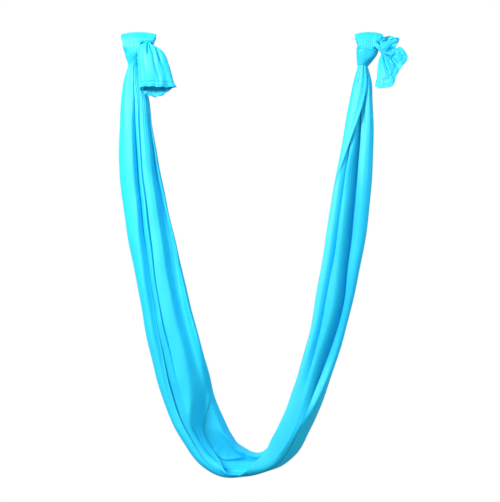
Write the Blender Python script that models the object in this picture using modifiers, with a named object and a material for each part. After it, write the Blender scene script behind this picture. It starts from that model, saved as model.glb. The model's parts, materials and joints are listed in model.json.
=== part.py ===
"""Aerial yoga hammock: one long stretch sheet, gathered and tied at both ends, hung as a U.

Metres, +Z up, +X from the left eye to the right eye, -Y towards the front.
The origin is the middle of the left eye, the loop of cloth that goes over the anchor.
"""

import math

import bmesh
import bpy
import numpy as np
from mathutils import Matrix, Vector

# The hang: how far apart the two eyes are, and how far the cloth drops below them
EYE_SPACING = 0.928
SEAT_DROP = 1.744

# Fits
JOIN_GAP = 0.0003
RUNNING_GAP = 0.0005

# The eye of each end: gathered cloth that goes up the front of the anchor and down its back
ANCHOR_RADIUS = 0.020
BIGHT_THICKNESS = 0.018
BIGHT_SHOULDER_DROP = 0.009
BIGHT_SHOULDER_LENGTH = 0.014
BIGHT_PLEAT_DEPTH = 0.0022
BIGHT_PLEATS = 6
BIGHT_STEPS = 24

# The knot under each eye: a saddle of wrapped cloth over a turn that closes round the neck
SADDLE_WALL = 0.009
SADDLE_TOP = 0.004
SADDLE_WAIST = -0.042
SADDLE_BOTTOM = -0.060
SADDLE_FOOT_DEPTH = 0.056
SADDLE_SQUARENESS = 8.0
SADDLE_PLEATS = 10
SADDLE_PLEAT_DEPTH = 0.0012
NECK_BOTTOM = -0.092
NECK_WIDTH = 0.042
CORE_RADIUS = 0.012
TURN_GROOVE_DEPTH = 0.003
KNOT_POINTS = 32

# What differs between the two ends. Shifts are sideways from the middle of that end's eye.
ENDS = {
    "left": {
        "bight_length": 0.136, "bight_shift": 0.001,
        "waist_width": 0.118, "waist_shift": 0.003,
        "foot_width": 0.062, "foot_shift": -0.021,
        "neck_shift": -0.021,
        "tail_root": (0.0420, -0.0060),
    },
    "right": {
        "bight_length": 0.108, "bight_shift": -0.006,
        "waist_width": 0.084, "waist_shift": -0.008,
        "foot_width": 0.068, "foot_shift": -0.014,
        "neck_shift": -0.027,
        "tail_root": (0.0240, -0.0140),
    },
}

# The cloth between the necks: across is a share of the way from neck to neck, down a share of
# the drop below them, and width is how much of the cloth shows from the front there, in metres.
ROUTE = [
    # across, down, width
    (0.000, 0.000, 0.046),
    (0.000, 0.036, 0.082),
    (0.006, 0.075, 0.111),
    (0.010, 0.145, 0.132),
    (0.018, 0.218, 0.157),
    (0.048, 0.327, 0.176),
    (0.083, 0.436, 0.190),
    (0.126, 0.545, 0.192),
    (0.169, 0.654, 0.208),
    (0.219, 0.764, 0.212),
    (0.248, 0.817, 0.202),
    (0.303, 0.881, 0.193),
    (0.364, 0.933, 0.183),
    (0.413, 0.957, 0.161),
    (0.472, 0.967, 0.122),
    (0.543, 0.965, 0.083),
    (0.608, 0.950, 0.096),
    (0.662, 0.924, 0.120),
    (0.702, 0.882, 0.128),
    (0.758, 0.801, 0.140),
    (0.799, 0.727, 0.137),
    (0.837, 0.654, 0.143),
    (0.880, 0.545, 0.157),
    (0.915, 0.436, 0.165),
    (0.946, 0.327, 0.162),
    (0.972, 0.218, 0.136),
    (0.984, 0.145, 0.116),
    (0.994, 0.075, 0.090),
    (1.000, 0.036, 0.073),
    (1.002, 0.000, 0.040),
]
SHOULDER_DROP = 0.003

# Tables along the cloth, against the share of the way from the left neck to the right neck.
# Front-to-back size of the hanging cloth
NECK_DEPTH = 0.042
UPPER_DEPTH = 0.088
LEG_DEPTH = 0.124
LOW_LEG_DEPTH = 0.170
SEAT_DEPTH = 0.236
DEPTH_ROWS = [
    (0.0, NECK_DEPTH),
    (0.045, UPPER_DEPTH),
    (0.22, LEG_DEPTH),
    (0.38, LOW_LEG_DEPTH),
    (0.50, SEAT_DEPTH),
    (0.62, LOW_LEG_DEPTH),
    (0.80, LEG_DEPTH),
    (0.955, UPPER_DEPTH),
    (1.0, NECK_DEPTH),
]

# How open the trough is, from a closed bundle (0) to a wide channel (1)
OPEN_ROWS = [
    (0.0, 0.0), (0.03, 0.03), (0.10, 0.30), (0.20, 0.60), (0.36, 0.90), (0.46, 1.0),
    (0.56, 1.0), (0.68, 0.80), (0.85, 0.45), (0.96, 0.05), (1.0, 0.0),
]

# Thickness of the folded cloth
CORE_WALL = 0.010
LEG_WALL = 0.016
SEAT_WALL = 0.011
WALL_ROWS = [
    (0.0, CORE_WALL), (0.06, LEG_WALL), (0.38, LEG_WALL), (0.47, SEAT_WALL),
    (0.55, SEAT_WALL), (0.64, LEG_WALL), (0.94, LEG_WALL), (1.0, CORE_WALL),
]

# Where the hollow of the trough ends, as a share of the width from the outer edge
ROOT_ROWS = [
    (0.0, 0.90), (0.05, 0.74), (0.12, 0.50), (0.22, 0.30), (0.36, 0.15), (0.46, 0.10),
    (0.56, 0.13), (0.68, 0.20), (0.85, 0.42), (0.94, 0.72), (1.0, 0.90),
]

# Where the front and back selvedges lie, as a share of the width from the outer edge
FRONT_LIP_ROWS = [
    (0.0, 0.97), (0.04, 0.90), (0.12, 0.87), (0.19, 0.75), (0.27, 0.66), (0.37, 0.62),
    (0.40, 0.52), (0.42, 0.38), (0.435, 0.25), (0.45, 0.21), (0.488, 0.21), (0.502, 0.42),
    (0.516, 0.84), (0.534, 0.97), (1.0, 0.97),
]
BACK_LIP_ROWS = [
    (0.0, 0.97), (0.42, 0.96), (0.45, 0.91), (0.475, 0.87), (0.497, 0.80), (0.52, 0.68),
    (0.545, 0.80), (0.57, 0.90), (0.90, 0.88), (1.0, 0.97),
]

# The two long front creases, as a share of the width from the outer edge
OUTER_CREASE_ROWS = [
    (0.0, 0.48), (0.117, 0.46), (0.187, 0.33), (0.269, 0.23), (0.388, 0.21), (0.50, 0.20),
    (0.56, 0.36), (0.612, 0.34), (0.696, 0.23), (0.731, 0.22), (0.772, 0.32), (0.865, 0.40),
    (1.0, 0.48),
]
INNER_CREASE_ROWS = [
    (0.0, 0.72), (0.117, 0.60), (0.187, 0.50), (0.269, 0.41), (0.388, 0.41), (0.45, 0.30),
    (0.50, 0.36), (0.53, 0.66), (0.612, 0.74), (0.772, 0.79), (0.885, 0.80), (1.0, 0.72),
]
BACK_CREASES = (0.40, 0.68)
# Across a crease, from a crease to the next or to the lip, and both as shares of a low lip
CREASE_HALF_WIDTH = 0.030
CREASE_APART = 0.10
LOW_LIP_HALF_WIDTH = 0.15
LOW_LIP_APART = (0.40, 0.32)
CREASE_SHARE = 0.50
CROWN_SHARE = 0.22
SLOT_HALF = 0.0012

# The back of the trough stands higher than its front, so the cloth hangs a little forward of
# the eyes, with its weight straight under them
HANG_FORWARD = 0.0029
NECK_SHARE = 0.05
LEFT_SEAT_END = 0.394
RIGHT_SEAT_END = 0.606
LEG_RINGS = 30
SEAT_RINGS = 26

# Tails: what is left of each end beyond its knot
TAIL_WALL = 0.005
TAIL_ROOT_RADIUS = 0.0075
TAIL_PLEAT_DEPTH = 0.004
TAIL_PLEATS = 6
TAIL_LEVELS = 7
TAIL_POINTS = 24
TAIL_MOUTH_LEVEL = 3
HEM_HEIGHT = 0.0050
HEM_SWELL = 0.0006
HEM_GAP = 0.0005
# Hem of each tail, once round: across from the eye, forward of the knot, and height
HEMS = {
    "left": [
        (0.026, 0.040, -0.182),
        (0.056, 0.062, -0.170),
        (0.102, 0.064, -0.172),
        (0.150, 0.036, -0.187),
        (0.122, 0.008, -0.213),
        (0.078, 0.005, -0.229),
        (0.036, 0.008, -0.227),
        (0.018, 0.022, -0.208),
    ],
    "right": [
        (0.116, 0.026, 0.008),
        (0.148, 0.046, -0.068),
        (0.116, 0.058, -0.132),
        (0.086, 0.050, -0.185),
        (0.028, 0.034, -0.188),
        (0.040, 0.008, -0.176),
        (0.086, 0.006, -0.146),
        (0.108, 0.006, -0.080),
        (0.098, 0.008, -0.012),
    ],
}

CLOTH_COLOUR = (0.05, 0.55, 0.83, 1.0)
THREAD_COLOUR = (0.02, 0.34, 0.56, 1.0)

# Lengths that follow from the ones above
BIGHT_RADIUS = ANCHOR_RADIUS + BIGHT_THICKNESS
SADDLE_BORE = BIGHT_RADIUS + RUNNING_GAP
SADDLE_FRONT = SADDLE_BORE + SADDLE_WALL
NECK_TOP = SADDLE_BOTTOM - JOIN_GAP
STEM_BOTTOM = NECK_BOTTOM - JOIN_GAP
ROUTE_TOP = STEM_BOTTOM - SHOULDER_DROP
EYES = {"left": Vector((0.0, 0.0, 0.0)), "right": Vector((EYE_SPACING, 0.0, 0.0))}


def material(name, colour, roughness):
    """A plain cloth finish."""
    made = bpy.data.materials.new(name)
    made.use_nodes = True
    shader = made.node_tree.nodes["Principled BSDF"]
    shader.inputs["Base Color"].default_value = colour
    shader.inputs["Roughness"].default_value = roughness
    shader.inputs["Metallic"].default_value = 0.0
    made.diffuse_color = colour
    return made


def add_object(name, data, colour=CLOTH_COLOUR):
    """Put a mesh or a curve in the hammock's collection, with a finish of its own."""
    made = bpy.data.objects.new(name, data)
    parts.objects.link(made)
    data.materials.append(material(name + "_finish", colour, 0.7))
    return made


def put_on_axis(made, axis, place):
    """Hang an object from its joint's axis, with its shape left where it was modelled."""
    made.data.transform(Matrix.Translation(-place))
    made.parent = axis


def joint_axis(name, place, parent=None):
    """An empty on a joint's axis."""
    made = bpy.data.objects.new(name, None)
    parts.objects.link(made)
    made.empty_display_size = 0.05
    made.location = place if parent is None else place - parent.location
    made.parent = parent
    return made


def loft(name, rings, ring_of_rings=False, colour=CLOTH_COLOUR):
    """A closed skin over rings of points, capped at both ends or joined end to end."""
    mesh = bmesh.new()
    skin = [[mesh.verts.new(point) for point in ring] for ring in rings]
    pairs = list(zip(skin, skin[1:]))
    if ring_of_rings:
        pairs.append((skin[-1], skin[0]))
    else:
        mesh.faces.new(skin[0])
        mesh.faces.new(skin[-1])
    for low, high in pairs:
        for i in range(len(low)):
            j = (i + 1) % len(low)
            mesh.faces.new((low[i], low[j], high[j], high[i]))
    bmesh.ops.recalc_face_normals(mesh, faces=mesh.faces)
    data = bpy.data.meshes.new(name)
    mesh.to_mesh(data)
    mesh.free()
    data.shade_smooth()
    data.set_sharp_from_angle(angle=math.radians(50))
    return add_object(name, data, colour)


def row_value(rows, share):
    """A table's value at a share of the way, on straight lines between its rows."""
    return float(np.interp(share, [row[0] for row in rows], [row[1] for row in rows]))


def smooth_value(knots, values, at):
    """A smooth curve through values at their knots, and its slope."""
    slopes = np.gradient(values, knots)
    k = int(np.clip(np.searchsorted(knots, at) - 1, 0, len(knots) - 2))
    span = knots[k + 1] - knots[k]
    s = (at - knots[k]) / span
    a, b = values[k], values[k + 1]
    m, n = slopes[k] * span, slopes[k + 1] * span
    place = (a * (2 * s**3 - 3 * s**2 + 1) + m * (s**3 - 2 * s**2 + s)
             + b * (3 * s**2 - 2 * s**3) + n * (s**3 - s**2))
    slope = (a * (6 * s**2 - 6 * s) + m * (3 * s**2 - 4 * s + 1)
             + b * (6 * s - 6 * s**2) + n * (3 * s**2 - 2 * s)) / span
    return place, slope


def route_arrays():
    """The middle line of the cloth in metres, its widths, and each row's share of the way."""
    left = EYES["left"].x + ENDS["left"]["neck_shift"]
    right = EYES["right"].x + ENDS["right"]["neck_shift"]
    rows = np.array(ROUTE)
    across = left + rows[:, 0] * (right - left)
    height = ROUTE_TOP - rows[:, 1] * (SEAT_DROP + ROUTE_TOP)
    steps = np.hypot(np.diff(across), np.diff(height))
    shares = np.concatenate(([0.0], np.cumsum(steps))) / steps.sum()
    return shares, across, height, rows[:, 2], steps.sum()


def half_depth(place, depth, openness):
    """Half the front-to-back size at a share of the width: an oval that opens to a trough."""
    oval = math.sqrt(max(0.0, 1 - (2 * place - 1) ** 2))
    rise = 1 - min(place / 0.5, 1.0)
    trough = math.sqrt(1 - rise**2) * (1 - 0.12 * place**2)
    return depth / 2 * ((1 - openness) * oval + openness * trough)


def cloth_outline(share, depth, folds=1.0):
    """The cloth cut across: points as (share of the width, distance to the front)."""
    openness = row_value(OPEN_ROWS, share)
    wall = row_value(WALL_ROWS, share)
    root = row_value(ROOT_ROWS, share)
    front_lip = row_value(FRONT_LIP_ROWS, share)
    back_lip = row_value(BACK_LIP_ROWS, share)
    apart = [min(CREASE_APART, low * front_lip) for low in LOW_LIP_APART]
    inner = min(row_value(INNER_CREASE_ROWS, share), front_lip - apart[0])
    outer = min(row_value(OUTER_CREASE_ROWS, share), inner - apart[1])
    crease = CREASE_SHARE * wall * folds
    crown = CROWN_SHARE * wall * folds
    first, second = BACK_CREASES
    h = min(CREASE_HALF_WIDTH, LOW_LIP_HALF_WIDTH * front_lip)

    def skin(place, lift=0.0):
        return half_depth(place, depth, openness) + lift

    def hollow(place):
        room = openness * (skin(place) - wall)
        swell = min((place - root) / (0.35 * (1 - root)), 1.0)
        return max(SLOT_HALF, room * math.sqrt(1 - (1 - swell) ** 2))

    front = [
        (front_lip, 0.0),
        ((front_lip + inner) / 2, crown),
        (inner + h, 0.0),
        (inner, -crease),
        (inner - h, 0.0),
        ((inner + outer) / 2, crown),
        (outer + h, 0.0),
        (outer, -crease),
        (outer - h, 0.0),
        (outer * 0.50, 0.0),
        (outer * 0.18, 0.0),
    ]
    back = [
        (0.05, 0.0),
        (first * 0.50, crown),
        (first - h, 0.0),
        (first, -crease),
        (first + h, 0.0),
        ((first + second) / 2, crown),
        (second - h, 0.0),
        (second, -crease),
        (second + h, 0.0),
        ((second + back_lip) / 2, crown),
        (back_lip, 0.0),
    ]
    points = [(place, skin(place, lift)) for place, lift in front]
    points.append((0.0, 0.0))
    points += [(place, -skin(place, lift)) for place, lift in back]
    steps = (1.0, 0.55, 0.25, 0.08)
    points += [(p, -hollow(p)) for p in (root + s * (back_lip - root) for s in steps)]
    points.append((root, 0.0))
    points += [(p, hollow(p)) for p in (root + s * (front_lip - root) for s in reversed(steps))]
    return points


def cloth_ring(share):
    """One ring of the hanging cloth, square to its middle line."""
    shares, across, height, widths, _ = route
    x, run = smooth_value(shares, across, share)
    z, drop = smooth_value(shares, height, share)
    width = smooth_value(shares, widths, share)[0]
    length = math.hypot(run, drop)
    inward = Vector((-drop / length, 0.0, run / length))
    middle = Vector((x, -HANG_FORWARD * min(1.0, share / NECK_SHARE, (1 - share) / NECK_SHARE), z))
    outline = cloth_outline(share, row_value(DEPTH_ROWS, share))
    return [middle + inward * (place - 0.5) * width - Vector((0.0, front, 0.0))
            for place, front in outline]


def stem_rings(side, share):
    """The two rings of the core that runs up through the neck to the saddle."""
    middle = EYES[side] + Vector((ENDS[side]["neck_shift"], 0.0, 0.0))
    inward = 1.0 if side == "left" else -1.0
    outline = cloth_outline(share, 2 * CORE_RADIUS, folds=0.0)
    return [[Vector((middle.x + inward * (place - 0.5) * 2 * CORE_RADIUS, -front, z))
             for place, front in outline]
            for z in (NECK_TOP - JOIN_GAP, STEM_BOTTOM)]


def make_leg(side):
    """One leg: the core in the neck, then the cloth down to the seat."""
    half_gap = JOIN_GAP / 2 / route[4]
    if side == "left":
        start, end = 0.0, LEFT_SEAT_END - half_gap
    else:
        start, end = 1.0, RIGHT_SEAT_END + half_gap
    # closer together near the neck, where the cloth spreads fastest
    shares = [start + (end - start) * (i / (LEG_RINGS - 1)) ** 1.35 for i in range(LEG_RINGS)]
    rings = stem_rings(side, start) + [cloth_ring(share) for share in shares]
    return loft(side + "_leg", rings)


def make_seat():
    """The trough at the bottom that carries the person."""
    half_gap = JOIN_GAP / 2 / route[4]
    shares = np.linspace(LEFT_SEAT_END + half_gap, RIGHT_SEAT_END - half_gap, SEAT_RINGS)
    return loft("seat", [cloth_ring(share) for share in shares])


def make_bight(side):
    """The gathered cloth round the anchor: a turned ring with pleats along its way over."""
    end = ENDS[side]
    half = end["bight_length"] / 2
    flat = half - BIGHT_SHOULDER_LENGTH
    outer = [(-half, BIGHT_RADIUS - BIGHT_SHOULDER_DROP)]
    for i in range(2 * BIGHT_PLEATS + 1):
        groove = BIGHT_PLEAT_DEPTH * (i % 2)
        outer.append((-flat + flat * i / BIGHT_PLEATS, BIGHT_RADIUS - groove))
    outer.append((half, BIGHT_RADIUS - BIGHT_SHOULDER_DROP))
    profile = outer + [(half, ANCHOR_RADIUS), (-half, ANCHOR_RADIUS)]
    data = bpy.data.meshes.new(side + "_bight")
    mesh = bmesh.new()
    points = [mesh.verts.new((end["bight_shift"] + x, 0.0, radius)) for x, radius in profile]
    for a, b in zip(points, points[1:] + points[:1]):
        mesh.edges.new((a, b))
    mesh.to_mesh(data)
    mesh.free()
    made = add_object(side + "_bight", data)
    made.location = EYES[side]
    turned = made.modifiers.new("turned", "SCREW")
    turned.axis = "X"
    turned.steps = BIGHT_STEPS
    turned.render_steps = BIGHT_STEPS
    turned.use_merge_vertices = True
    turned.merge_threshold = 0.0001
    turned.use_smooth_shade = True
    turned.use_normal_flip = True
    return made


def knot_section(side, height):
    """Middle, width, depth and squareness of a knot at a height."""
    end = ENDS[side]
    rows = [
        (NECK_BOTTOM, end["neck_shift"], NECK_WIDTH, NECK_DEPTH, 2.0),
        (SADDLE_BOTTOM, end["foot_shift"], end["foot_width"], SADDLE_FOOT_DEPTH, 2.4),
        (SADDLE_WAIST, end["waist_shift"], end["waist_width"], 2 * SADDLE_FRONT, 5.0),
        (0.0, end["bight_shift"], end["bight_length"], 2 * SADDLE_FRONT, SADDLE_SQUARENESS),
    ]
    heights = [row[0] for row in rows]
    return [float(np.interp(height, heights, [row[k] for row in rows])) for k in range(1, 5)]


def knot_ring(side, height, scale=1.0, pleats=0.0):
    """One ring round a knot: a rounded block that becomes an oval towards the neck."""
    shift, width, depth, square = knot_section(side, height)
    ring = []
    for i in range(KNOT_POINTS):
        angle = 2 * math.pi * i / KNOT_POINTS
        c, s = math.cos(angle), math.sin(angle)
        reach = (abs(c) ** square + abs(s) ** square) ** (-1 / square)
        reach *= scale
        fold = pleats * math.cos(SADDLE_PLEATS * angle)
        ring.append(EYES[side] + Vector((shift + reach * c * (width / 2 - pleats + fold),
                                         reach * s * (depth / 2 - pleats + fold), height)))
    return ring


def make_saddle(side):
    """The wrapped cloth that cups the underside of the eye and can turn round it."""
    heights = [SADDLE_BOTTOM, -0.051, SADDLE_WAIST, -0.028, -0.012, SADDLE_TOP]
    made = loft(side + "_knot_wrap",
                [knot_ring(side, h, 1.0, SADDLE_PLEAT_DEPTH) for h in heights])
    bpy.ops.mesh.primitive_cylinder_add(vertices=64, radius=SADDLE_BORE,
                                        depth=2 * ENDS[side]["bight_length"],
                                        location=EYES[side], rotation=(0, math.pi / 2, 0))
    cutter = bpy.context.object
    cutter.name = side + "_eye_cutter"
    for collection in list(cutter.users_collection):
        collection.objects.unlink(cutter)
    cutters.objects.link(cutter)
    cutter.hide_render = True
    cutter.display_type = "WIRE"
    cut = made.modifiers.new("room for the eye", "BOOLEAN")
    cut.operation = "DIFFERENCE"
    cut.object = cutter
    return made


def make_neck_turn(side):
    """The cloth wound round the neck under the saddle: two turns with a bore for the core."""
    levels = 7
    rings = []
    for i in range(levels):
        along = i / (levels - 1)
        height = NECK_TOP + (NECK_BOTTOM - NECK_TOP) * along
        width = knot_section(side, height)[1]
        groove = TURN_GROOVE_DEPTH * (0.5 + 0.5 * math.cos(4 * math.pi * along))
        rings.append(knot_ring(side, height, 1 - 2 * groove / width))
    bore = CORE_RADIUS + JOIN_GAP
    middle = EYES[side] + Vector((ENDS[side]["neck_shift"], 0.0, 0.0))
    for height in (NECK_BOTTOM, NECK_TOP):
        rings.append([middle + Vector((bore * math.cos(a), bore * math.sin(a), height))
                      for a in (2 * math.pi * i / KNOT_POINTS for i in range(KNOT_POINTS))])
    return loft(side + "_neck_turn", rings, ring_of_rings=True)


def closed_curve(points, count):
    """Evenly spaced places on a smooth closed curve through the points."""
    pts = [Vector(p) for p in points]
    n = len(pts)
    fine = []
    for i in range(n):
        a, b, c, d = pts[i - 1], pts[i], pts[(i + 1) % n], pts[(i + 2) % n]
        for k in range(12):
            s = k / 12
            fine.append(0.5 * (2 * b + (c - a) * s + (2 * a - 5 * b + 4 * c - d) * s**2
                               + (3 * b - a - 3 * c + d) * s**3))
    steps = [(fine[(i + 1) % len(fine)] - fine[i]).length for i in range(len(fine))]
    total = sum(steps)
    places, run, k = [], 0.0, 0
    for i in range(count):
        goal = total * i / count
        while run + steps[k] < goal:
            run += steps[k]
            k += 1
        share = (goal - run) / steps[k]
        places.append(fine[k].lerp(fine[(k + 1) % len(fine)], share))
    return places


def tail_root(side):
    """Where a tail leaves its knot: on its hinge, just in front of the saddle."""
    across, height = ENDS[side]["tail_root"]
    front = [p - EYES[side] for p in knot_ring(side, height, 1.0, SADDLE_PLEAT_DEPTH)]
    front = sorted((p.x, p.y) for p in front if p.y < 0)
    surface = float(np.interp(across, [x for x, y in front], [y for x, y in front]))
    return EYES[side] + Vector((across, surface - RUNNING_GAP - TAIL_ROOT_RADIUS, height))


def hem_loop(side):
    """The hem of a tail, once round, in world places."""
    knot_front = SADDLE_FRONT + RUNNING_GAP
    points = [EYES[side] + Vector((x, -(knot_front + forward), z)) for x, forward, z in HEMS[side]]
    return closed_curve(points, TAIL_POINTS)


def pull_in(ring, distance):
    """The ring moved in towards its middle by a distance."""
    middle = sum(ring, Vector()) / len(ring)
    return [middle + (p - middle) * (1 - distance / (p - middle).length) for p in ring]


def make_tail(side):
    """The loose end beyond the knot: a pleated skirt, hollow at its hem."""
    root = tail_root(side)
    hem = hem_loop(side)
    way = (sum(hem, Vector()) / len(hem) - root).normalized()
    across = (hem[0] - root).cross(way).cross(way).normalized()
    if (hem[0] - root).dot(across) < 0:
        across = -across
    side_way = way.cross(across)
    # the round end on the hinge, then the skirt
    turn = 1 if (hem[TAIL_POINTS // 4] - root).dot(side_way) > 0 else -1
    circle = [across * math.cos(a) + side_way * turn * math.sin(a)
              for a in (2 * math.pi * i / TAIL_POINTS for i in range(TAIL_POINTS))]
    rings = []
    for tilt in (75, 45, 15):
        sine, cosine = math.sin(math.radians(tilt)), math.cos(math.radians(tilt))
        rings.append([root + (c * cosine - way * sine) * TAIL_ROOT_RADIUS for c in circle])
    start = [root + c * TAIL_ROOT_RADIUS for c in circle]
    skirt = []
    for level in range(TAIL_LEVELS + 1):
        f = level / TAIL_LEVELS
        ring = [a.lerp(b, f) for a, b in zip(start, hem)]
        folds = [TAIL_PLEAT_DEPTH * f * (0.5 - 0.5 * math.cos(TAIL_PLEATS * 2 * math.pi
                                                               * i / TAIL_POINTS))
                 for i in range(TAIL_POINTS)]
        middle = sum(ring, Vector()) / len(ring)
        skirt.append([middle + (p - middle) * (1 - fold / (p - middle).length)
                      for p, fold in zip(ring, folds)])
    rings += skirt
    rings += [pull_in(ring, TAIL_WALL) for ring in reversed(skirt[TAIL_MOUTH_LEVEL:])]
    last_way = [(b - a).normalized() for a, b in zip(skirt[-2], skirt[-1])]
    return loft(side + "_tail", rings), root, skirt[-1], last_way


def make_hem(side, edge, last_way):
    """The rolled and stitched hem that closes the cut edge of a tail, all the way round."""
    inner = pull_in(edge, TAIL_WALL)
    seat = [way * HEM_GAP for way in last_way]
    foot = [way * (HEM_GAP + HEM_HEIGHT) for way in last_way]
    swell = pull_in(edge, -HEM_SWELL)
    tuck = pull_in(edge, TAIL_WALL + HEM_SWELL)
    rings = [
        [p + d for p, d in zip(edge, seat)],
        [p + (d + e) / 2 for p, d, e in zip(swell, seat, foot)],
        [p + d for p, d in zip(edge, foot)],
        [p + d for p, d in zip(inner, foot)],
        [p + (d + e) / 2 for p, d, e in zip(tuck, seat, foot)],
        [p + d for p, d in zip(inner, seat)],
    ]
    return loft(side + "_tail_hem", rings, ring_of_rings=True, colour=THREAD_COLOUR)


for old in list(bpy.data.objects):
    bpy.data.objects.remove(old, do_unlink=True)
parts = bpy.data.collections.new("aerial_yoga_hammock")
cutters = bpy.data.collections.new("cutters")
bpy.context.scene.collection.children.link(parts)
bpy.context.scene.collection.children.link(cutters)

route = route_arrays()
swing_axis = joint_axis("sling_swing_axis", EYES["left"])
for piece in (make_leg("left"), make_seat(), make_leg("right")):
    put_on_axis(piece, swing_axis, EYES["left"])
for name in ("left", "right"):
    make_bight(name)
    for piece in (make_saddle(name), make_neck_turn(name)):
        put_on_axis(piece, swing_axis, EYES["left"])
    tail, hinge, edge_ring, edge_ways = make_tail(name)
    hem_piece = make_hem(name, edge_ring, edge_ways)
    tail_axis = joint_axis(name + "_tail_axis", hinge, swing_axis)
    for piece in (tail, hem_piece):
        put_on_axis(piece, tail_axis, hinge)
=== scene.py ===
"""The looks of an aerial yoga hammock: one sheet of stretch tricot, knotted at both ends.

Metres, +Z up, -Y towards the front. The origin is the middle of the left eye.
"""

import json
import math

import bpy
import numpy as np
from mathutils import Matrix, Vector


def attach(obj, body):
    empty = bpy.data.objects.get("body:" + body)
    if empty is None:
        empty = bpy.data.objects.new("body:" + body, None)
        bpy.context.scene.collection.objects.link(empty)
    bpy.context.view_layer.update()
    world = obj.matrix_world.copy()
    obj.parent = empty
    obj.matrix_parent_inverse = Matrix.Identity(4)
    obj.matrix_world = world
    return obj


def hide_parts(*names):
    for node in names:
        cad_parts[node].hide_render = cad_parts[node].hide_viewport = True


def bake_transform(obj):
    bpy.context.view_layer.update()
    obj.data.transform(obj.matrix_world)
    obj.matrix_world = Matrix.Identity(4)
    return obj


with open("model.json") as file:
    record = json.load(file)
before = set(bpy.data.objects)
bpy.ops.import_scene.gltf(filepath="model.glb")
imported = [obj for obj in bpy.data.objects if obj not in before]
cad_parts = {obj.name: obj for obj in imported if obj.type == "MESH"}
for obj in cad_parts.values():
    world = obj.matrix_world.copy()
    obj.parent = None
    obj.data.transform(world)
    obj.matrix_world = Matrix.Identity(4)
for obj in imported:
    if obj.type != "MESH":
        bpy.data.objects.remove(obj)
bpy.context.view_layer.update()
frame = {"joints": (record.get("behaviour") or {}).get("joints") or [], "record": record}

EYES = {mount["name"].split("_")[0]: Vector(mount["pos_m"]) for mount in frame["record"]["mounts"]}

# The sheet
CLOTH_WIDTH = 1.5
CLOTH_THICKNESS = 0.0008

# Where the hanging cloth starts below an eye, and how deep the seat hangs
NECK_SHIFT = {"left": -0.021, "right": -0.027}
ROUTE_TOP = -0.0953
SEAT_DROP = 1.744

# The middle line of the hanging cloth: how far across from neck to neck, how far down the drop
# below them, and how wide the cloth shows from the front there. All in thousandths: of the way
# across, of the drop, and of a metre.
ROUTE = [
    (0, 0, 46), (0, 36, 82), (6, 75, 111), (10, 145, 132), (18, 218, 157), (48, 327, 176),
    (83, 436, 190), (126, 545, 192), (169, 654, 208), (219, 764, 212), (248, 817, 202), (303, 880, 193),
    (364, 931, 183), (413, 954, 161), (472, 965, 121), (510, 969, 96), (560, 967, 80), (613, 951, 108),
    (655, 924, 133), (707, 873, 131), (758, 801, 140), (799, 727, 137), (837, 654, 143),
    (880, 545, 157), (915, 436, 165), (946, 327, 162), (972, 218, 136), (984, 145, 116), (994, 75, 90),
    (1000, 36, 73), (1002, 0, 40),
]
# How far in front of the eyes the cloth hangs, and how far the legs run on into the knots
HANG_FORWARD = 0.0029
STEM = 0.02

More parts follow.
